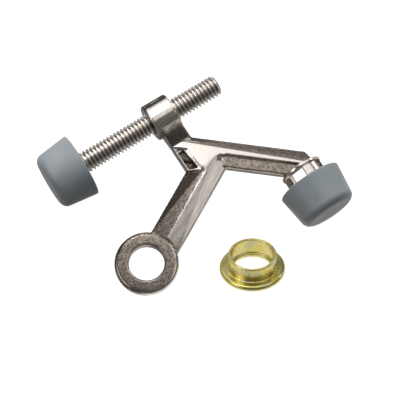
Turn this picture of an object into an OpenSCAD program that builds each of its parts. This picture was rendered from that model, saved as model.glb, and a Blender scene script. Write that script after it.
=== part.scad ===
// Hinge-pin door stop with an adjusting screw, two rubber bumpers and a loose bushing.
// Millimetres. The hinge-pin axis is Z, with the origin at the centre of the eye's bore.
// The adjusting screw lies along X. The casting is symmetric about the plane z = 0.

/* [Eye] */
// Outer diameter of the eye
eye_od = 22.2; // [21:0.1:24]
// Diameter of the bore for the hinge pin
eye_bore = 12.3; // [10:0.1:13]
// Thickness of the eye
eye_thickness = 3.8; // [3.6:0.1:4.6]
// Radius that rounds the eye's outer edges
eye_edge = 1.4; // [0.4:0.1:1.6]
// Chamfer at both mouths of the bore
bore_chamfer = 0.5; // [0.2:0.1:0.8]

/* [Stem] */
// Direction of the stem, measured from the screw
stem_angle = 29; // [28.5:0.5:30]
// Width of the stem
stem_width = 11.6; // [10.5:0.1:12]
// Distance of the stem's middle line from the bore's axis
stem_offset = 1.8; // [1.4:0.1:2.2]
// Length from the bore's axis to the stem's far end
stem_length = 45; // [44:0.5:46]
// Half thickness along the stem's two edges
stem_edge = 1.3; // [1:0.1:1.6]
// Height of the ridge next to the eye
ridge_at_eye = 2.5; // [2:0.1:3]

/* [Arm] */
// Direction of the arm, measured from the screw
arm_angle = -40; // [-40.4:0.1:-39.6]
// Distance of the arm's outer edge from the bore's axis
arm_outer = 47.2; // [46.6:0.1:47.5]
// Width of the arm
arm_width = 9.6; // [9.4:0.1:10]
// Length of the arm, from the foot of the line square to it through the bore's axis
arm_length = 54; // [54:0.5:55]
// Width of the slope along the arm's outer edge, at the leg
arm_slope = 2.7; // [2.5:0.1:2.9]
// Width of that slope at the collar
arm_slope_end = 4.6; // [4.2:0.1:4.7]
// Distance of the raised rib's inner wall from the arm's outer edge
arm_rib = 5.3; // [5.2:0.1:5.5]
// Half thickness along the arm's two edges
arm_edge = 1.5; // [1.2:0.1:1.8]
// Height of the recessed face beside the rib
arm_web = 2; // [1.8:0.1:2.2]
// Height of the rib and of the junction's flat top
top_height = 3.5; // [3.2:0.1:3.8]

/* [Junction] */
// Step down from the flat top to the block that holds the pocket
block_step = 0.3; // [0.2:0.1:0.5]
// Height of the pocket's floor
pocket_floor = 1.5; // [1:0.1:2]
// Width of the lip on the pocket's left
pocket_lip = 0.5; // [0.4:0.1:0.7]

/* [Boss] */
// Distance of the leg's middle from the bore's axis, along the screw
leg_x = 32.9; // [32.7:0.1:33.1]
// Width of the leg below the boss
leg_width = 7; // [6.8:0.1:7.2]
// Width of the ledge along the leg's side, on the arm's side
leg_ledge = 0.9; // [0.6:0.1:1]
// Distance by which the boss stands out past the leg, towards the screw's bumper
boss_step = 1.6; // [1.2:0.1:1.8]
// Distance by which it stands out on the other side
boss_back = 1; // [0.8:0.1:1.2]
// Outer diameter of the boss
boss_od = 13.6; // [13.2:0.1:14]
// Distance where the leg's slopes meet the junction
shoulder_y = 30.2; // [29.8:0.1:30.6]
// Height of the leg where its slopes end
leg_foot = 2.6; // [2.4:0.1:3]

/* [Screw] */
// Distance of the screw's axis from the bore's axis
screw_y = 42.7; // [42.2:0.1:43.2]
// Crest diameter of the thread
thread_d = 7.94; // [7.8:0.01:7.98]
// Pitch of the thread, 18 to the inch
thread_pitch = 1.411; // [1.25:0.001:1.5]
// Position of the screw's free end
screw_end = 55.8; // [54:0.1:57]
// Radial clearance between the thread and the boss
thread_clearance = 0.05; // [0.02:0.01:0.1]

/* [Bumpers] */
// Diameter at the open back of a bumper
bumper_back_d = 23.3; // [22.5:0.1:23.5]
// Diameter that the taper would reach at the front
bumper_front_d = 19.9; // [19:0.1:20.5]
// Length of a bumper
bumper_length = 13.3; // [13:0.1:14.5]
// Radius that rounds the front edge
bumper_round = 2.8; // [1.5:0.1:3.2]
// Position of the screw bumper's back
screw_bumper_x = -0.3; // [-2:0.1:0.5]
// Position of the arm bumper's axis
arm_bumper_x = 63.5; // [63.3:0.1:63.7]
// Position of the arm bumper's back
arm_bumper_y = -5.2; // [-5.5:0.1:-5]
// Diameter of the disc that each bumper holds
head_d = 12.6; // [12:0.1:13.5]
// Thickness of that disc
head_length = 2.4; // [2:0.1:3]
// Depth of that disc behind the bumper's back
head_depth = 3.6; // [3:0.1:4]

/* [Collar] */
// Diameter of the flange between the arm and the collar
collar_od = 15.2; // [15:0.1:16]
// Distance from the flange's face to the bumper's back
collar_length = 5.6; // [5.4:0.1:5.8]
// Thickness of the flange
flange_length = 1.1; // [0.8:0.1:1.4]
// Number of notches round the collar
notch_count = 4; // [3:1:5]
// Width of a notch
notch_width = 5; // [3:0.1:5.4]
// Depth of a notch
notch_depth = 1.7; // [1:0.1:2]

/* [Bushing] */
// Diameter of the bushing's flange
bushing_flange_d = 22.8; // [21:0.1:24]
// Outer diameter of the bushing's neck
bushing_neck_d = 16.7; // [16:0.1:17.5]
// Inner diameter of the neck
bushing_inner_d = 14.8; // [14.2:0.1:15.2]
// Bore of the lip at the flange's end
bushing_bore_d = 13.6; // [12.5:0.1:14]
// Length of the whole bushing
bushing_length = 7.6; // [7:0.1:8.5]
// Thickness of the flange
bushing_flange_t = 2.2; // [1.6:0.1:2.6]
// Length of the lip's bore
bushing_lip = 1.4; // [1:0.1:2]
// Lean of the bushing's axis from the hinge-pin axis
bushing_lean = 33; // [0:0.5:35]

/* [Hidden] */
$fn = 96;

// The bushing lies beside the stem and leans square to the line of sight over the eye.
bushing_place = [30.4, -20.1, -5.9];
bushing_heading = 60;

nickel = [0.62, 0.59, 0.55];
grey_rubber = [0.45, 0.49, 0.53];
yellow_zinc = [0.78, 0.70, 0.33];

half_eye = eye_thickness / 2;
arm_rib_inner = arm_outer - arm_rib;
leg_left = leg_x - leg_width / 2;
leg_right = leg_x + leg_width / 2;
boss_length = boss_step + leg_width + boss_back;
slab = 0.5;
ridge_n = -stem_offset - 0.3;
collar_y = arm_bumper_y + collar_length;
foot_y = shoulder_y - 10.3;

// Thread form: 60 degrees, with flats of an eighth of the pitch outside and a quarter inside
thread_depth = 0.613 * thread_pitch;
crest_flat = thread_pitch / 8;
root_flat = thread_pitch / 4;
flank = (thread_pitch - crest_flat - root_flat) / 2;

// Turns a place along and across a bar at an angle into plan coordinates.
function plan(angle, along, across) = [
    along * cos(angle) - across * sin(angle),
    along * sin(angle) + across * cos(angle)
];

// Where the bar at an angle, at a distance across it, passes a given X or Y.
function across_at_x(angle, across, x) = [x, (across + x * sin(angle)) / cos(angle)];

// Distance across the arm of the rib's outer edge, at a distance along it.
function rib_outer(along) =
    arm_outer - arm_slope - (arm_slope_end - arm_slope) * along / arm_length;

// Points of a quarter round from one angle to another.
function arc(centre, radius, from, to, steps = 8) = [
    for (i = [0 : steps])
        let (a = from + (to - from) * i / steps)
        centre + radius * [cos(a), sin(a)]
];

// Lays an outline of distance across and height along a bar.
module bar(angle, from, to) {
    rotate([0, 0, angle])
        translate([from, 0, 0])
            rotate([90, 0, 90])
                linear_extrude(to - from) children();
}

module mirrored() {
    children();
    mirror([0, 0, 1]) children();
}

module eye() {
    r = eye_od / 2;
    rb = eye_bore / 2;
    c = bore_chamfer;
    rotate_extrude()
        polygon(concat(
            [[rb, -half_eye + c], [rb + c, -half_eye]],
            arc([r - eye_edge, -half_eye + eye_edge], eye_edge, -90, 0),
            arc([r - eye_edge, half_eye - eye_edge], eye_edge, 0, 90),
            [[rb + c, half_eye], [rb, half_eye - c]]
        ));
}

module stem_outline(ridge) {
    w = stem_width / 2;
    polygon([
        [-stem_offset - w, -stem_edge],
        [ridge_n, -ridge],
        [-stem_offset + w, -stem_edge],
        [-stem_offset + w, stem_edge],
        [ridge_n, ridge],
        [-stem_offset - w, stem_edge]
    ]);
}

module stem() {
    start = eye_bore / 2 + 2;
    difference() {
        hull() {
            bar(stem_angle, start, start + slab) stem_outline(ridge_at_eye);
            bar(stem_angle, stem_length - slab, stem_length) stem_outline(top_height);
        }
        mirrored()
            translate([0, 0, half_eye - 0.3]) cylinder(d = eye_od - 0.6, h = top_height);
    }
}

module rib_outline(outer) {
    polygon([
        [arm_rib_inner, -top_height],
        [outer, -top_height],
        [arm_outer, -arm_edge],
        [arm_outer, arm_edge],
        [outer, top_height],
        [arm_rib_inner, top_height]
    ]);
}

// Rib with the slope outside it, and the thinner web inside it, ending at the collar
module arm() {
    inner = arm_outer - arm_width;
    web = [
        [inner, arm_edge],
        [inner + 0.4, arm_web - 0.1],
        [arm_rib_inner - 0.2, arm_web],
        [arm_rib_inner + 1, arm_web]
    ];
    intersection() {
        union() {
            hull() {
                bar(arm_angle, 0, slab) rib_outline(rib_outer(0));
                bar(arm_angle, arm_length - slab, arm_length) rib_outline(rib_outer(arm_length));
            }
            bar(arm_angle, 0, arm_length)
                polygon(concat(web, [for (i = [3 : -1 : 0]) [web[i][0], -web[i][1]]]));
        }
        linear_extrude(4 * top_height, center = true)
            polygon([
                [leg_left, shoulder_y],
                [leg_left, foot_y],
                [arm_bumper_x - collar_od / 2, collar_y - 0.3],
                [arm_bumper_x + 5, collar_y - 0.3],
                [arm_bumper_x + 4.5, 4.7],
                across_at_x(arm_angle, arm_outer + 1, leg_right),
                [leg_right, shoulder_y]
            ]);
    }
}

// Block where the leg, the stem and the arm meet, with a pocket in its flank.
module junction() {
    foot_left = [leg_left, foot_y];
    foot_right = [leg_left + 4.7, foot_y - 2.8];
    block_top = top_height - block_step;
    difference() {
        union() {
            linear_extrude(2 * top_height, center = true)
                polygon([
                    plan(arm_angle, 6, rib_outer(6)),
                    plan(arm_angle, 16, rib_outer(16)),
                    plan(arm_angle, 22, arm_rib_inner),
                    plan(arm_angle, 19.6, arm_rib_inner - 1.1),
                    foot_right
                ]);
            linear_extrude(2 * block_top, center = true)
                polygon([
                    [leg_left, shoulder_y],
                    foot_left,
                    foot_right,
                    [leg_left + 5, shoulder_y]
                ]);
        }
        mirrored()
            translate([leg_left + pocket_lip, foot_y, pocket_floor])
                linear_extrude(top_height)
                    polygon([[0, 0.3], [3, -0.6], [2.1, 8.1], [0, 8.5]]);
    }
}

// Leg with slopes that run up into the boss, the ledge along its side, and the boss
module boss_and_leg() {
    chamfer = 0.4;
    grip = boss_od / 2 - 0.15;
    drop = screw_y - shoulder_y;
    tangent = acos(grip / norm([drop, leg_foot])) - atan(leg_foot / drop);
    touch = grip * [-cos(tangent), sin(tangent)];
    translate([leg_left, screw_y, 0])
        rotate([90, 0, 90])
            linear_extrude(leg_width)
                polygon([
                    touch,
                    [-drop, leg_foot],
                    [-drop - 3, leg_foot],
                    [-drop - 3, -leg_foot],
                    [-drop, -leg_foot],
                    [touch[0], -touch[1]],
                    [0, 0]
                ]);
    translate([leg_x, shoulder_y - 1, -arm_edge])
        cube([leg_width / 2 + leg_ledge, drop - boss_od / 2 + 2, 2 * arm_edge]);
    translate([leg_left - boss_step, screw_y, 0])
        rotate([0, 90, 0]) {
            cylinder(d1 = boss_od - 2 * chamfer, d2 = boss_od, h = chamfer);
            translate([0, 0, chamfer]) cylinder(d = boss_od, h = boss_length - 2 * chamfer);
            translate([0, 0, boss_length - chamfer])
                cylinder(d1 = boss_od, d2 = boss_od - 2 * chamfer, h = chamfer);
        }
}

// Collar and mushroom stud, from the arm's end down into the bumper
module collar() {
    r = collar_od / 2;
    translate([arm_bumper_x, collar_y, 0])
        rotate([90, 0, 0]) {
            cylinder(r = r, h = flange_length);
            difference() {
                cylinder(r = r - 0.3, h = collar_length);
                for (i = [0 : notch_count - 1])
                    rotate([0, 0, 30 + i * 360 / notch_count])
                        translate([r - 0.3 - notch_depth, -notch_width / 2, flange_length])
                            cube([r, notch_width, collar_length]);
            }
            cylinder(d = thread_d, h = collar_length + head_depth + head_length / 2);
            translate([0, 0, collar_length + head_depth]) cylinder(d = head_d, h = head_length);
        }
}

module frame_casting() {
    color(nickel)
        difference() {
            union() {
                eye();
                stem();
                junction();
                arm();
                boss_and_leg();
                collar();
            }
            translate([leg_left - boss_step - 1, screw_y, 0])
                rotate([0, 90, 0])
                    cylinder(d = thread_d + 2 * thread_clearance, h = boss_length + 2);
        }
}

// The thread is drawn as rings, which have the true thread's section.
module adjusting_screw() {
    r = thread_d / 2;
    root = r - thread_depth;
    start = screw_bumper_x + 0.4;
    turns = floor((screw_end - start - 1) / thread_pitch);
    head_end = screw_bumper_x - head_depth - head_length;
    rings = [
        for (i = [0 : turns - 1])
            let (x = start + i * thread_pitch)
            each [[r, x], [r, x + crest_flat], [root, x + crest_flat + flank],
                  [root, x + crest_flat + flank + root_flat]]
    ];
    color(nickel)
        translate([0, screw_y, 0])
            rotate([0, 90, 0])
                rotate_extrude()
                    polygon(concat(
                        [[0, head_end], [head_d / 2, head_end], [head_d / 2, head_end + head_length],
                         [r, head_end + head_length]],
                        rings,
                        [[r, start + turns * thread_pitch], [r, screw_end - 0.8],
                         [r - 0.8, screw_end], [0, screw_end]]
                    ));
}

// Rubber cup with its back at z = 0, its front towards +Z and a hollow that grips the disc.
module bumper() {
    back = bumper_back_d / 2;
    front = bumper_front_d / 2;
    taper = atan((back - front) / bumper_length);
    gap = thread_clearance;
    neck = thread_d / 2 + gap;
    centre_r = front - bumper_round * (1 / cos(taper) - tan(taper));
    color(grey_rubber)
        rotate_extrude()
            polygon(concat(
                [[neck, 0], [back - 0.4, 0], [back, 0.4]],
                arc([centre_r, bumper_length - bumper_round], bumper_round, taper, 90),
                [[0, bumper_length], [0, head_depth + head_length + gap],
                 [head_d / 2 + gap, head_depth + head_length + gap],
                 [head_d / 2 + gap, head_depth - gap], [neck, head_depth - gap]]
            ));
}

module screw_bumper() {
    translate([screw_bumper_x, screw_y, 0]) rotate([0, -90, 0]) bumper();
}

module arm_bumper() {
    translate([arm_bumper_x, arm_bumper_y, 0]) rotate([90, 0, 0]) bumper();
}

module adapter_bushing() {
    flange = bushing_flange_d / 2;
    neck = bushing_neck_d / 2;
    inner = bushing_inner_d / 2;
    lip = bushing_bore_d / 2;
    round_r = bushing_flange_t / 2 - 0.2;
    rim = 0.3;
    color(yellow_zinc)
        translate(bushing_place)
            rotate([0, bushing_lean, bushing_heading])
                rotate_extrude()
                    polygon(concat(
                        [[lip, 0]],
                        arc([flange - round_r, round_r], round_r, -90, 0),
                        arc([flange - round_r, bushing_flange_t - round_r], round_r, 0, 90),
                        [[neck + 0.5, bushing_flange_t], [neck, bushing_flange_t + 0.5],
                         [neck, bushing_length - rim], [neck - rim, bushing_length],
                         [inner + rim, bushing_length], [inner, bushing_length - rim],
                         [inner, bushing_lip + 0.6], [lip, bushing_lip]]
                    ));
}

frame_casting();
adjusting_screw();
screw_bumper();
arm_bumper();
adapter_bushing();
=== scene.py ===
import math

import bmesh
import bpy
import numpy as np
from mathutils import Matrix, Vector


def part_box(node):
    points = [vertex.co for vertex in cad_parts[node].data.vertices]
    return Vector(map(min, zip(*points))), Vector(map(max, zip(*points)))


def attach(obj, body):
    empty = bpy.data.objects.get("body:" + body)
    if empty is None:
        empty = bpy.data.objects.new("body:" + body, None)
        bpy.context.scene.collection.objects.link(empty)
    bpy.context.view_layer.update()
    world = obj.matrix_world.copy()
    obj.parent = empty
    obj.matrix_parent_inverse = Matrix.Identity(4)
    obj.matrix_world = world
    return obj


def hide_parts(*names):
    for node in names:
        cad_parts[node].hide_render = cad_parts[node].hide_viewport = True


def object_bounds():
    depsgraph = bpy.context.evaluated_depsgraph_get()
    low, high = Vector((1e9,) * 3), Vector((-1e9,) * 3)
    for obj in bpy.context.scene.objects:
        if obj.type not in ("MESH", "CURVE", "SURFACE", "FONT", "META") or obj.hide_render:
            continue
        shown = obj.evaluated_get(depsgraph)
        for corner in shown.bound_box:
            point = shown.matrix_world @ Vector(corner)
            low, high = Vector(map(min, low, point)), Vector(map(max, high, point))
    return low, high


# Hinge-pin door stop: a plated casting, a threaded screw, two rubber cups and a loose bushing.
# Everything is in metres in the CAD's frame: Z is the hinge pin's axis, X the screw's, and the
# arm's cup faces -Y.

MM = 0.001

# Camera
AIM = (27.72 * MM, 9.58 * MM, 0)
AZIMUTH = math.radians(-32.80)
ELEVATION = math.radians(72.82)
ROLL = math.radians(0.42)
DISTANCE = 522.5 * MM
LENS = 135.3
SENSOR = 36

# Casting's skin: the size of its voxels, and how many passes soften it
VOXEL = 0.17 * MM
CAST_SOFTENING = 6
JUNCTION_SOFTENING = 120
# Where the stem's right face runs into the flat top, and how far that join is blended
JUNCTION_LINE = np.array([(35.5, 16.9), (40.3, 18.0)]) * MM
JUNCTION_REACH = 1.6 * MM

# Casting's finish and its painted light and shade. The stem runs at this angle to X, and its right
# face looks this way.
STEM_ANGLE = math.radians(29)
STEM_RIGHT = (0.485, -0.875, 0)
# Start and end of each blend in the finish and in its painted shade and light
STEM_FOOT_Y = (0, 14 * MM)
STEM_TOP_Y = (19 * MM, 26 * MM)
SHOULDER_Y = (30 * MM, 31.5 * MM)
LEG_START_Y = (28 * MM, 31 * MM)
LEG_END_Y = (35 * MM, 37.5 * MM)
POCKET_START_X = (29.6 * MM, 29.9 * MM)
POCKET_END_X = (33.2 * MM, 33.4 * MM)
POCKET_START_Y = (18.8 * MM, 19.3 * MM)
POCKET_END_Y = (27.4 * MM, 27.8 * MM)
POCKET_HEIGHT = (2.4 * MM, 2.9 * MM)
BUFFED_LEVEL = (1.9 * MM, 3.3 * MM)
# Colour of the painted shade on the casting: on the leg, on faces that look to the stem's left and in
# the pocket
PAINTED_SHADE = (0.05, 0.042, 0.035, 1)

# Screw, 18 threads to the inch
THREAD_D = 7.94 * MM
PITCH = 1.411 * MM
THREAD_DEPTH = 0.613 * PITCH
THREAD_SIDES = 72
RUN_OUT_GAP = 0.4 * MM
END_STEP = 0.05 * MM
# Shares of the pitch, which starts with the crest
CREST_END = 0.22
ROOT_START = 0.5
ROOT_END = 0.7
FLAT_SUPPORT = 0.03
# Share of the free end's radius at which its support ring lies
END_SUPPORT = 0.9

# Rubber cups and the discs that they grip
CUP_BACK_D = 23.3 * MM
CUP_FRONT_D = 19.9 * MM
CUP_ROUND = 2.8 * MM
CUP_BACK_ROUND = 0.5 * MM
CUP_MOUTH_ROUND = 0.3 * MM
CUP_HOLLOW_ROUND = 0.2 * MM
CUP_GAP = 0.05 * MM
DISC_D = 12.6 * MM
DISC_LENGTH = 2.4 * MM
DISC_DEPTH = 3.6 * MM
DISC_ROUND = 0.4 * MM

# Bushing
FLANGE_R = 11.4 * MM
NECK_R = 8.35 * MM
INNER_R = 7.4 * MM
LIP_R = 6.8 * MM
BUSHING_LENGTH = 7.6 * MM
FLANGE_T = 2.2 * MM
LIP_LENGTH = 1.4 * MM
FLANGE_ROUND = 0.95 * MM
FOOT_ROUND = 0.6 * MM
NECK_ROUND = 0.4 * MM
SHELF_ROUND = 0.5 * MM
LIP_ROUND = 0.3 * MM
BUSHING_PLACE = (30.4 * MM, -20.1 * MM, -5.9 * MM)
LEAN = math.radians(33)
HEADING = math.radians(60)

# Share of a round's size at which its support points lie
SUPPORT = 0.15

# Half the floor's width in mm, and the step down to it and on to each card under it
FLOOR_REACH = 6000
FLOOR_STEP = 0.1 * MM

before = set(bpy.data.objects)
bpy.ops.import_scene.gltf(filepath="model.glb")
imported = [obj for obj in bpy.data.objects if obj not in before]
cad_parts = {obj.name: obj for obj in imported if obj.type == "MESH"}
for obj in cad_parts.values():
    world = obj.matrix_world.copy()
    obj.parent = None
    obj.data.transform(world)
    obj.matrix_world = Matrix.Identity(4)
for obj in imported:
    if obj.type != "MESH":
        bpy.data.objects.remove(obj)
cad_low, cad_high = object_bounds()


# ---------------------------------------------------------------- meshes

def add_object(name, verts, faces):
    mesh = bpy.data.meshes.new(name)
    mesh.from_pydata([tuple(v) for v in verts], [], [tuple(f) for f in faces])
    mesh.update()
    piece = bpy.data.objects.new(name, mesh)
    bpy.context.scene.collection.objects.link(piece)
    return piece


def shade_smooth(mesh):
    mesh.polygons.foreach_set("use_smooth", [True] * len(mesh.polygons))
    mesh.update()


def weld(piece):
    """Joins points that coincide, turns every face outwards and shades the mesh smooth."""
    bm = bmesh.new()
    bm.from_mesh(piece.data)
    bmesh.ops.remove_doubles(bm, verts=bm.verts, dist=1e-7)
    bmesh.ops.recalc_face_normals(bm, faces=bm.faces)
    bm.to_mesh(piece.data)
    bm.free()
    shade_smooth(piece.data)


def settle(piece, body, node, material):
    """Gives a finished piece its body and its material, and hides the CAD node that it stands for."""
    piece.data.materials.clear()
    piece.data.materials.append(material)
    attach(piece, body)
    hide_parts(node)


def rounded(corners, closed=False, steps=6):
    """A line through corners of (radius, height, round). Each round becomes an arc with a support
    point just outside both of its ends, which keeps the flats beside it flat."""
    line = []
    last = len(corners) - 1
    for i, (r, h, size) in enumerate(corners):
        here = Vector((r, h))
        if size == 0 or (not closed and i in (0, last)):
            line.append(here)
            continue
        back = (Vector(corners[i - 1][:2]) - here).normalized()
        ahead = (Vector(corners[(i + 1) % len(corners)][:2]) - here).normalized()
        half = back.angle(ahead) / 2
        reach = size / math.tan(half)
        centre = here + (back + ahead).normalized() * size / math.sin(half)
        start = here + back * reach - centre
        end = here + ahead * reach - centre
        turn = start.angle_signed(end)
        line.append(centre + start + back * size * SUPPORT)
        for k in range(steps + 1):
            line.append(centre + Matrix.Rotation(-turn * k / steps, 2) @ start)
        line.append(centre + end + ahead * size * SUPPORT)
    return line


def lathe(name, line, axis_matrix, sides=144, closed=False):
    """Turns a line of (radius, height) round local Z into one closed mesh. A closed line makes a
    ring. An open one starts and ends on the axis, where its points become one."""
    verts = []
    for k in range(sides):
        a = 2 * math.pi * k / sides
        verts += [axis_matrix @ Vector((r * math.cos(a), r * math.sin(a), h)) for r, h in line]
    rows = len(line)
    faces = []
    for k in range(sides):
        m = (k + 1) % sides
        for i in range(rows if closed else rows - 1):
            j = (i + 1) % rows
            faces.append((k * rows + i, m * rows + i, m * rows + j, k * rows + j))
    piece = add_object(name, verts, faces)
    weld(piece)
    return piece


def axis_frame(origin, direction):
    """Matrix that takes local Z to a direction at an origin."""
    turn = Vector((0, 0, 1)).rotation_difference(Vector(direction)).to_matrix().to_4x4()
    return Matrix.Translation(Vector(origin)) @ turn


# ---------------------------------------------------------------- shader helpers

def shader(name):
    """A new material's node tree, its Principled BSDF and a maker of nodes."""
    material = bpy.data.materials.new(name)
    material.use_nodes = True
    tree = material.node_tree
    bsdf = tree.nodes["Principled BSDF"]

    def add(kind, inputs=(), **settings):
        node = tree.nodes.new(kind)
        for key, value in settings.items():
            setattr(node, key, value)
        for key, value in dict(inputs).items():
            if isinstance(value, bpy.types.NodeSocket):
                tree.links.new(value, node.inputs[key])
            else:
                node.inputs[key].default_value = value
        return node

    return material, tree, bsdf, add


def ramp_between(add, factor, low, high, a, b):
    """b where factor is above high, a where it is below low, and a smooth change between."""
    node = add("ShaderNodeMapRange", {"Value": factor, "From Min": low, "From Max": high,
                                      "To Min": a, "To Max": b}, interpolation_type="SMOOTHSTEP")
    return node.outputs["Result"]


def math_node(add, operation, a, b=0.0):
    return add("ShaderNodeMath", {0: a, 1: b}, operation=operation).outputs[0]


def vector_node(add, operation, a, b=(0, 0, 0)):
    return add("ShaderNodeVectorMath", {0: a, 1: b}, operation=operation).outputs


def band(add, value, rise, fall):
    """0, then 1, then 0 again: it rises over one range of a value and falls over another."""
    return math_node(add, "MULTIPLY", ramp_between(add, value, *rise, 0, 1),
                     ramp_between(add, value, *fall, 1, 0))


def mix_colours(add, factor, a, b):
    return add("ShaderNodeMix", {0: factor, 6: a, 7: b}, data_type="RGBA").outputs[2]


def noise(add, vector, scale, detail=3, roughness=0.5):
    node = add("ShaderNodeTexNoise", {"Vector": vector, "Scale": scale, "Detail": detail,
                                      "Roughness": roughness})
    return node.outputs["Fac"]


def finish_surface(tree, bsdf, add, colour, roughness, grain, strength, distance):
    """Links a colour and a roughness to the shader, and the grain as a fine relief."""
    tree.links.new(colour, bsdf.inputs["Base Color"])
    tree.links.new(roughness, bsdf.inputs["Roughness"])
    relief = add("ShaderNodeBump", {"Strength": strength, "Distance": distance, "Height": grain})
    tree.links.new(relief.outputs[0], bsdf.inputs["Normal"])


# ---------------------------------------------------------------- materials

def buffing_and_side_light(add, place, facing, y, height):
    """1 where the casting is bright and 0 where it is dull. The wheel met what stands proud and
    hardly the leg.
    Faces that look to the stem's right are raised towards bright and those that look left lowered:
    that part is painted light and shade."""
    side_light_weight = ramp_between(add, y, *STEM_TOP_Y, 5.0 * MM, 2.4 * MM)
    mottle = math_node(add, "SUBTRACT", noise(add, place, 500, 4, 0.6), 0.5)
    level = math_node(add, "SUBTRACT", height, ramp_between(add, y, *SHOULDER_Y, 0, 2.4 * MM))
    # Painted light and shade: faces that look to the stem's right go brighter and those that look
    # left duller, most strongly low on the stem.
    level = math_node(add, "ADD", level, math_node(add, "MULTIPLY", facing, side_light_weight))
    level = math_node(add, "ADD", level, math_node(add, "MULTIPLY", mottle, 1.4 * MM))
    return ramp_between(add, level, *BUFFED_LEVEL, 0, 1)


def dull_plate(add, place, facing, y):
    """Stained plate with painted shade: darkest on the leg and on faces that look to the stem's left.
    """
    stain = ramp_between(add, noise(add, place, 1300, 4, 0.7), 0.38, 0.62, 0, 1)
    dull = mix_colours(add, stain, (0.17, 0.143, 0.118, 1), (0.41, 0.352, 0.298, 1))
    # Painted shade on faces that look to the stem's left and on the leg
    left_face_shade = math_node(add, "MULTIPLY", ramp_between(add, facing, -0.35, -0.1, 0.85, 0),
                          ramp_between(add, y, *STEM_FOOT_Y, 0.3, 1))
    leg = math_node(add, "MULTIPLY", band(add, y, LEG_START_Y, LEG_END_Y), 0.8)
    return mix_colours(add, math_node(add, "MAXIMUM", left_face_shade, leg), dull, PAINTED_SHADE)


def bright_plate(add, place, facing):
    """Buffed plate, with streaks along the stem on faces that look to its right."""
    along_stem = add("ShaderNodeMapping", {"Vector": place, "Rotation": (0, 0, STEM_ANGLE),
                                           "Scale": (9, 1, 1)}, vector_type="TEXTURE")
    streak = noise(add, along_stem.outputs[0], 1000, 3, 0.6)
    clean = math_node(add, "MAXIMUM", ramp_between(add, streak, 0.35, 0.65, 0, 1),
                      ramp_between(add, facing, 0.05, 0.2, 1, 0))
    return mix_colours(add, clean, (0.66, 0.60, 0.54, 1), (0.88, 0.81, 0.74, 1))


def in_pocket(add, x, y, height):
    """Nearly 1 in the pocket on each side of the junction, and 0 elsewhere: where the pocket gets its
    painted shade.
    """
    plan = math_node(add, "MULTIPLY", band(add, x, POCKET_START_X, POCKET_END_X),
                     band(add, y, POCKET_START_Y, POCKET_END_Y))
    return math_node(add, "MULTIPLY", plan, ramp_between(add, height, *POCKET_HEIGHT, 0.85, 0))


def nickel_casting():
    """Satin nickel: polished bright where it stands proud and dull in the recesses, with painted
    light on faces that look to the stem's right, painted shade on those that look left, on the leg
    and in the pocket, and edges lighter, partly worn and partly a painted highlight.
    """
    material, tree, bsdf, add = shader("satin_nickel_casting")
    coords = add("ShaderNodeTexCoord").outputs
    place = coords["Object"]
    xyz = add("ShaderNodeSeparateXYZ", {0: place}).outputs
    x, y = xyz["X"], xyz["Y"]
    height = math_node(add, "ABSOLUTE", xyz["Z"])
    facing = vector_node(add, "DOT_PRODUCT", coords["Normal"], STEM_RIGHT)["Value"]
    buffed_and_side_lit = buffing_and_side_light(add, place, facing, y, height)
    grain = noise(add, place, 2600, 3, 0.6)
    colour = mix_colours(add, buffed_and_side_lit, dull_plate(add, place, facing, y),
                         bright_plate(add, place, facing))
    # Convex edges go lighter: partly rubbed metal and partly a painted highlight along the rounded
    # edges.
    bend = add("ShaderNodeNewGeometry").outputs["Pointiness"]
    worn_edge_and_highlight = ramp_between(add, bend, 0.52, 0.58, 0, 0.75)
    colour = mix_colours(add, worn_edge_and_highlight, colour, (0.88, 0.82, 0.755, 1))
    # Painted shade in the pocket's recess
    colour = mix_colours(add, in_pocket(add, x, y, height), colour, PAINTED_SHADE)
    bsdf.inputs["Metallic"].default_value = 1
    rough = math_node(add, "ADD", ramp_between(add, buffed_and_side_lit, 0, 1, 0.24, 0.15),
                      math_node(add, "MULTIPLY", grain, 0.08))
    finish_surface(tree, bsdf, add, colour, rough, grain,
                   ramp_between(add, buffed_and_side_lit, 0, 1, 0.30, 0.10), 0.06 * MM)
    return material


def nickel_screw():
    """Plated rolled thread: bright crests, with painted shade that deepens down the flanks to the
    roots.
    """
    material, tree, bsdf, add = shader("nickel_screw")
    place = add("ShaderNodeTexCoord").outputs["Object"]
    low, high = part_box("adjusting_screw")
    axis = (low + high) / 2
    across = vector_node(add, "SUBTRACT", place, (0, axis.y, axis.z))[0]
    across = vector_node(add, "MULTIPLY", across, (0, 1, 1))[0]
    radius = vector_node(add, "LENGTH", across)["Value"]
    crest = THREAD_D / 2
    # Painted shade: the colour darkens from the crests down to the roots of the thread
    depth = ramp_between(add, radius, crest - THREAD_DEPTH, crest - 0.05 * MM, 1, 0)
    stain = noise(add, place, 900, 3, 0.5)
    bright = mix_colours(add, ramp_between(add, stain, 0.3, 0.7, 0, 1),
                         (0.90, 0.84, 0.78, 1), (0.97, 0.92, 0.86, 1))
    colour = mix_colours(add, depth, bright, (0.34, 0.30, 0.26, 1))
    bsdf.inputs["Metallic"].default_value = 1
    finish_surface(tree, bsdf, add, colour, ramp_between(add, stain, 0.3, 0.7, 0.13, 0.20),
                   noise(add, place, 3000), 0.05, 0.03 * MM)
    return material


def grey_rubber():
    """Smooth moulded rubber with a soft sheen and a faint bloom."""
    material, tree, bsdf, add = shader("grey_rubber")
    place = add("ShaderNodeTexCoord").outputs["Object"]
    bloom = noise(add, place, 90, 4, 0.6)
    colour = mix_colours(add, ramp_between(add, bloom, 0.35, 0.65, 0, 1),
                         (0.222, 0.252, 0.272, 1), (0.258, 0.281, 0.294, 1))
    bsdf.inputs["Sheen Weight"].default_value = 0.15
    bsdf.inputs["Sheen Roughness"].default_value = 0.5
    finish_surface(tree, bsdf, add, colour, ramp_between(add, bloom, 0.3, 0.7, 0.34, 0.44),
                   noise(add, place, 3000, 2, 0.5), 0.12, 0.03 * MM)
    return material


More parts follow.
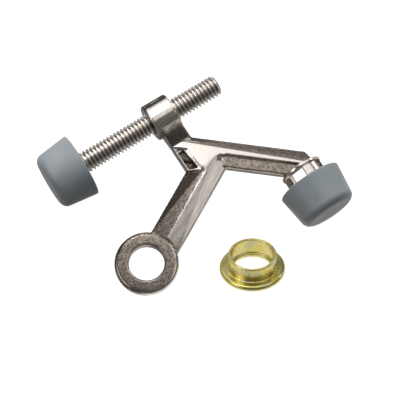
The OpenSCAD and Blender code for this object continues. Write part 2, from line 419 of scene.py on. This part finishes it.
def yellow_zinc():
    """Yellow zinc plate that shifts between gold, green and a little pink."""
    material, tree, bsdf, add = shader("yellow_zinc")
    place = add("ShaderNodeTexCoord").outputs["Object"]
    ramp = add("ShaderNodeValToRGB", {"Fac": noise(add, place, 210, 3, 0.55)})
    stops = [(0.32, (0.58, 0.60, 0.30, 1)), (0.42, (0.76, 0.66, 0.18, 1)),
             (0.50, (0.90, 0.75, 0.27, 1)), (0.58, (0.67, 0.65, 0.34, 1)),
             (0.68, (0.90, 0.65, 0.37, 1))]
    elements = ramp.color_ramp.elements
    elements[0].position, elements[0].color = stops[0]
    elements[1].position, elements[1].color = stops[-1]
    for position, colour in stops[1:-1]:
        elements.new(position).color = colour
    bsdf.inputs["Metallic"].default_value = 1
    grain = noise(add, place, 1200, 3, 0.5)
    finish_surface(tree, bsdf, add, ramp.outputs["Color"],
                   ramp_between(add, grain, 0.3, 0.7, 0.26, 0.34), grain, 0.05, 0.04 * MM)
    return material


# ---------------------------------------------------------------- pieces

def soften(mesh, passes, weight=None):
    """Evens out a mesh by moving each point towards the middle of its neighbours."""
    co = np.zeros(len(mesh.vertices) * 3)
    mesh.vertices.foreach_get("co", co)
    co = co.reshape(-1, 3)
    edges = np.zeros(len(mesh.edges) * 2, np.int64)
    mesh.edges.foreach_get("vertices", edges)
    a, b = edges.reshape(-1, 2).T
    count = np.bincount(a, minlength=len(co)) + np.bincount(b, minlength=len(co))
    share = 0.5 if weight is None else 0.5 * weight(co)[:, None]
    for _ in range(passes):
        total = np.zeros_like(co)
        for k in range(3):
            total[:, k] = np.bincount(a, co[b, k], len(co)) + np.bincount(b, co[a, k], len(co))
        co = co + share * (total / count[:, None] - co)
    mesh.vertices.foreach_set("co", co.ravel())
    mesh.update()


def near_junction(co):
    """1 on the line where the stem's face runs into the flat top, falling to 0 away from it."""
    start, end = JUNCTION_LINE
    along = end - start
    t = np.clip((co[:, :2] - start) @ along / (along @ along), 0, 1)
    away = np.linalg.norm(co[:, :2] - start - t[:, None] * along, axis=1)
    return np.clip(1.5 - away / JUNCTION_REACH, 0, 1)


def casting():
    """The CAD casting's skin, remeshed finely and softened so that its edges are cast ones."""
    piece = bpy.data.objects.new("casting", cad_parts["frame_casting"].data.copy())
    bpy.context.scene.collection.objects.link(piece)
    weld(piece)
    remesh = piece.modifiers.new("cast", "REMESH")
    remesh.mode = "VOXEL"
    remesh.voxel_size = VOXEL * 1
    remesh.use_smooth_shade = True
    evaluated = piece.evaluated_get(bpy.context.evaluated_depsgraph_get())
    piece.data = bpy.data.meshes.new_from_object(evaluated)
    piece.data.name = "casting"
    piece.modifiers.clear()
    soften(piece.data, CAST_SOFTENING)
    soften(piece.data, JUNCTION_SOFTENING, near_junction)
    shade_smooth(piece.data)
    return piece


def flat(start, end):
    """Steps across a flat of the thread, with support points just inside its ends."""
    return [start, start + FLAT_SUPPORT, (start + end) / 2, end - FLAT_SUPPORT, end]


def thread_phases():
    """Steps along one pitch, as shares of it: the crest, a flank, the root and the other flank."""
    return [*flat(0, CREST_END), (CREST_END + ROOT_START) / 2,
            *flat(ROOT_START, ROOT_END), (ROOT_END + 1) / 2]


def thread_radius(phase, crest, root):
    """Radius of the thread at a phase of 0 to 1 along one pitch."""
    shares = [0, CREST_END, ROOT_START, ROOT_END, 1]
    return float(np.interp(phase, shares, [crest, crest, root, root, crest]))


def screw_columns():
    """The screw's outline at each step round it, as points of (x, radius) from the middle of its
    disc, along the shank into which the thread runs out, to the chamfer and the free end."""
    low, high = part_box("adjusting_screw")
    disc_r = (high.z - low.z) / 2
    crest = THREAD_D / 2
    root = crest - THREAD_DEPTH
    end_r = root - END_STEP
    shank_start = low.x + DISC_LENGTH
    run_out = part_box("screw_bumper")[1].x + RUN_OUT_GAP
    disc = rounded([(low.x, 0, 0), (low.x, disc_r, DISC_ROUND), (shank_start, disc_r, DISC_ROUND),
                    (shank_start, crest, 0)])
    phases = thread_phases()
    turns = math.ceil((high.x - shank_start) / PITCH) + 1
    steps = [turn + phase for turn in range(-turns, 1) for phase in phases]
    columns = []
    for k in range(THREAD_SIDES):
        line = list(disc)
        for step in steps:
            x = min(max(high.x + (step + k / THREAD_SIDES) * PITCH, shank_start), high.x)
            fade = min(max((x - run_out) / PITCH, 0), 1)
            r = crest + (thread_radius(step % 1, crest, root) - crest) * fade
            line.append((x, min(r, end_r + high.x - x)))
        line += [(high.x, end_r * END_SUPPORT), (high.x, 0)]
        columns.append(line)
    # one turn on, the first outline meets the last one a pitch further along
    first = columns[0]
    start = len(disc)
    shift = len(phases)
    columns.append(first[:start] + first[start + shift:-2] + [first[-3]] * shift + first[-2:])
    return columns


def adjusting_screw():
    """One closed mesh: a helical thread with a chamfered end and a run-out, a shank and its disc."""
    low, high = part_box("adjusting_screw")
    axis = (low + high) / 2
    columns = screw_columns()
    rows = len(columns[0])
    verts = []
    for k, line in enumerate(columns):
        a = 2 * math.pi * (k % THREAD_SIDES) / THREAD_SIDES
        verts += [(x, axis.y + r * math.cos(a), axis.z + r * math.sin(a)) for x, r in line]
    faces = [(k * rows + i, (k + 1) * rows + i, (k + 1) * rows + i + 1, k * rows + i + 1)
             for k in range(THREAD_SIDES) for i in range(rows - 1)]
    piece = add_object("screw_with_disc", verts, faces)
    weld(piece)
    return piece


def rubber_cup(name, node, back, direction):
    """Tapered rubber cup with a rounded front edge and the hollow that grips its disc."""
    low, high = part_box(node)
    size = high - low
    length = min(size)
    outer = max(size) / 2
    front = outer - (CUP_BACK_D - CUP_FRONT_D) / 2
    mouth = THREAD_D / 2 + CUP_GAP
    grip = DISC_D / 2 + CUP_GAP
    near = DISC_DEPTH - CUP_GAP
    far = DISC_DEPTH + DISC_LENGTH + CUP_GAP
    line = rounded([
        (0, length, 0),
        (front, length, CUP_ROUND),
        (outer, 0, CUP_BACK_ROUND),
        (mouth, 0, CUP_MOUTH_ROUND),
        (mouth, near, CUP_HOLLOW_ROUND),
        (grip, near, CUP_HOLLOW_ROUND),
        (grip, far, CUP_HOLLOW_ROUND),
        (0, far, 0),
    ], steps=10)
    return lathe(name, line, axis_frame(back, direction))


def bushing():
    """Flanged bushing: a rounded flange, a neck with soft corners and a stepped bore."""
    level = math.sin(LEAN)
    axis = (level * math.cos(HEADING), level * math.sin(HEADING), math.cos(LEAN))
    line = rounded([
        (LIP_R, 0, LIP_ROUND),
        (FLANGE_R, 0, FLANGE_ROUND),
        (FLANGE_R, FLANGE_T, FLANGE_ROUND),
        (NECK_R, FLANGE_T, FOOT_ROUND),
        (NECK_R, BUSHING_LENGTH, NECK_ROUND),
        (INNER_R, BUSHING_LENGTH, NECK_ROUND),
        (INNER_R, LIP_LENGTH, SHELF_ROUND),
        (LIP_R, LIP_LENGTH, LIP_ROUND),
    ], closed=True, steps=8)
    return lathe("bushing", line, axis_frame(BUSHING_PLACE, axis), closed=True)


def rubber_cups():
    """The cup on the screw's disc and the one on the arm's stud, of the same rubber."""
    rubber = grey_rubber()
    low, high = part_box("screw_bumper")
    back = (high.x, (low.y + high.y) / 2, 0)
    settle(rubber_cup("screw_cup", "screw_bumper", back, (-1, 0, 0)),
           "screw_tip", "screw_bumper", rubber)
    low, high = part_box("arm_bumper")
    back = ((low.x + high.x) / 2, high.y, 0)
    settle(rubber_cup("arm_cup", "arm_bumper", back, (0, -1, 0)),
           "frame", "arm_bumper", rubber)


# ---------------------------------------------------------------- floor, light and camera

def card(name, low, high, z, strength):
    """A level emitting rectangle between two corners in mm: part of the stage, not of the object."""
    corners = [(low[0], low[1], 0), (high[0], low[1], 0), (high[0], high[1], 0), (low[0], high[1], 0)]
    piece = add_object(name, [Vector(corner) * MM for corner in corners], [(0, 1, 2, 3)])
    piece.location.z = z
    piece.visible_diffuse = False
    material, _, bsdf, _ = shader(name)
    bsdf.inputs["Base Color"].default_value = (0.35, 0.35, 0.35, 1)
    bsdf.inputs["Roughness"].default_value = 0.9
    bsdf.inputs["Specular IOR Level"].default_value = 0.1
    bsdf.inputs["Emission Color"].default_value = (1, 1, 1, 1)
    bsdf.inputs["Emission Strength"].default_value = strength
    piece.data.materials.append(material)
    return piece


def floor():
    """The pale floor that the camera sees, and under it the cards that the metal mirrors."""
    low, high = (-FLOOR_REACH, -FLOOR_REACH), (FLOOR_REACH, FLOOR_REACH)
    floor_z = cad_low.z - FLOOR_STEP
    seen = card("floor", low, high, floor_z, 0.93)
    seen.visible_glossy = False
    dim = card("dim_card", low, high, floor_z - 2 * FLOOR_STEP, 0.32)
    bright = card("bright_card", (-40, -160), (110, -8), floor_z - FLOOR_STEP, 0.75)
    for mirrored in (dim, bright):
        mirrored.visible_camera = False
        mirrored.visible_shadow = False


def softbox(name, centre, size, radiance, target=None, glossy=True):
    """A soft rectangular light at a place in mm. It faces a target, or straight down without one."""
    width, depth = size
    light = bpy.data.lights.new(name, "AREA")
    light.shape = "RECTANGLE"
    light.size = width * MM
    light.size_y = depth * MM
    light.energy = radiance * math.pi * light.size * light.size_y
    lamp = bpy.data.objects.new(name, light)
    bpy.context.scene.collection.objects.link(lamp)
    lamp.location = Vector(centre) * MM
    away = Vector(centre) - Vector(target or (centre[0], centre[1], 0))
    lamp.rotation_mode = "QUATERNION"
    lamp.rotation_quaternion = away.to_track_quat("Z", "Y")
    lamp.visible_camera = False
    lamp.visible_glossy = glossy


def softboxes():
    """Each light stands where some of the metal's faces mirror it. Those that face down hang side by
    side as one ceiling, with the screw's two just below it. The last one lights the rubber."""
    softbox("main_light", (232, 215, 300), (335, 410), 0.88)
    softbox("right_light", (225, -125, 300), (150, 170), 0.64)
    softbox("near_right_light", (122, -30, 300), (54, 80), 0.32)
    softbox("boss_light", (82, -12, 300), (34, 46), 1.2)
    softbox("left_light", (-300, 160, 300), (260, 300), 2.4)
    softbox("thread_light", (600, 200, 200), (300, 170), 2.4, target=(30, 40, 0))
    softbox("low_light", (420, 500, 60), (500, 200), 0.8, target=(50, 20, 0))
    softbox("screw_light", (48, 262, 297), (34, 330), 5.0)
    softbox("screw_end_light", (110, 335, 298), (110, 190), 2.4)
    softbox("back_light", (90, 640, 260), (420, 260), 0.9, target=(30, 40, 0))
    softbox("fill_light", (250, 560, 520), (800, 800), 3.0, target=(30, 10, 0), glossy=False)


def surroundings():
    world = bpy.data.worlds.new("studio")
    bpy.context.scene.world = world
    world.use_nodes = True
    background = world.node_tree.nodes["Background"]
    background.inputs["Color"].default_value = (1, 1, 1, 1)
    background.inputs["Strength"].default_value = 0.12


def camera():
    data = bpy.data.cameras.new("camera")
    data.lens = LENS
    data.sensor_width = SENSOR
    data.clip_start = 0.01
    data.clip_end = 20
    piece = bpy.data.objects.new("camera", data)
    bpy.context.scene.collection.objects.link(piece)
    level = math.cos(ELEVATION)
    back = Vector((math.sin(AZIMUTH) * level, -math.cos(AZIMUTH) * level, math.sin(ELEVATION)))
    piece.location = Vector(AIM) + back * DISTANCE
    turn = (-back).to_track_quat("-Z", "Y").to_matrix() @ Matrix.Rotation(ROLL, 3, "Z")
    piece.rotation_mode = "QUATERNION"
    piece.rotation_quaternion = turn.to_quaternion()
    bpy.context.scene.camera = piece


settle(casting(), "frame", "frame_casting", nickel_casting())
settle(adjusting_screw(), "screw", "adjusting_screw", nickel_screw())
rubber_cups()
settle(bushing(), "bushing", "adapter_bushing", yellow_zinc())

floor()
surroundings()
softboxes()
camera()
bpy.context.scene.view_settings.view_transform = "Standard"
